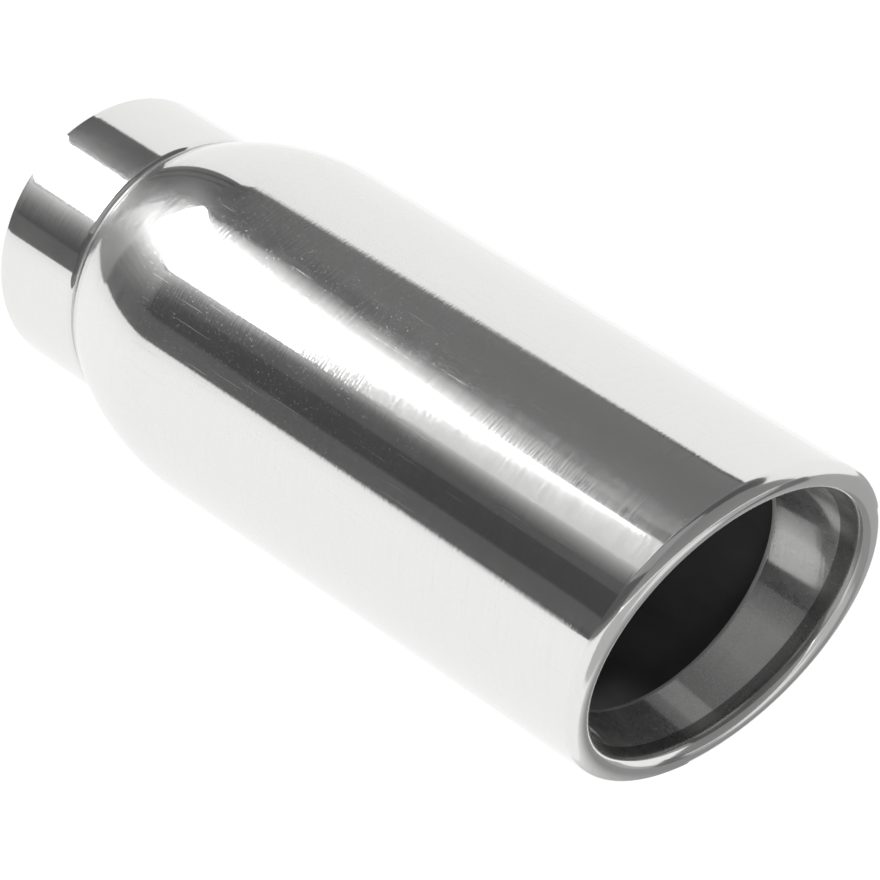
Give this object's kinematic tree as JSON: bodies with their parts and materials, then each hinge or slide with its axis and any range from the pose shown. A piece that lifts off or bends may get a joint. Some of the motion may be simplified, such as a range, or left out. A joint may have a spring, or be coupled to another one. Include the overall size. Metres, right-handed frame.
{
  "type": "exhaust tip",
  "caption": "Angle-cut round exhaust tip with a slip-on inlet collar, a swaged neck, a straight polished body and a rolled lip turned back inside the outlet.",
  "frame": {"origin": "centre of the inlet mouth, on the tube's axis", "axes": "+X along the tube from the inlet to the outlet, +Z towards the long side of the angle-cut outlet"},
  "size_m": [0.2052, 0.0762, 0.0762],
  "materials": {
    "polished_stainless": "mirror polished stainless with faint rings and hairlines from the polishing wheel",
    "dressed_weld": "dressed weld bead, duller than the tube"
  },
  "bodies": {
    "root": {"inlet_collar": "polished_stainless", "outer_shell": "polished_stainless", "seam_weld": "dressed_weld"}
  },
  "joints": []
}
